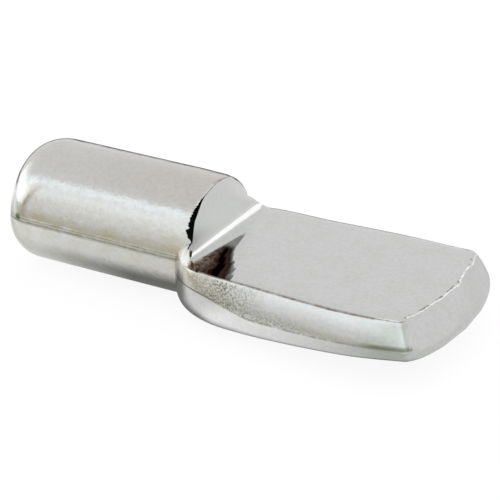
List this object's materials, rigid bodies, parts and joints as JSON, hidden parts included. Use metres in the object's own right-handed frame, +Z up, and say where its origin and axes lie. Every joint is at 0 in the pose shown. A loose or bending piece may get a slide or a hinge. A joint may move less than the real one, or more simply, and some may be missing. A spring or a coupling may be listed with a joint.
{
  "type": "shelf support pin",
  "caption": "Small nickel-plated steel shelf support: a round shank for a cabinet hole, stepped into a broad flat-topped blade with bulged sides and a sloped, bowed tip.",
  "frame": {"origin": "on the shank's axis, in the plane where the shoulder starts, which is where the plain shank ends", "axes": "-X along the shank into the cabinet side, +X along the blade to its tip, +Z up out of the shelf seat"},
  "size_m": [0.0241, 0.0098, 0.0063],
  "materials": {
    "nickel_plate": "bright nickel plate over cold-forged steel"
  },
  "bodies": {
    "root": {"shelf_pin": "nickel_plate"}
  },
  "joints": []
}
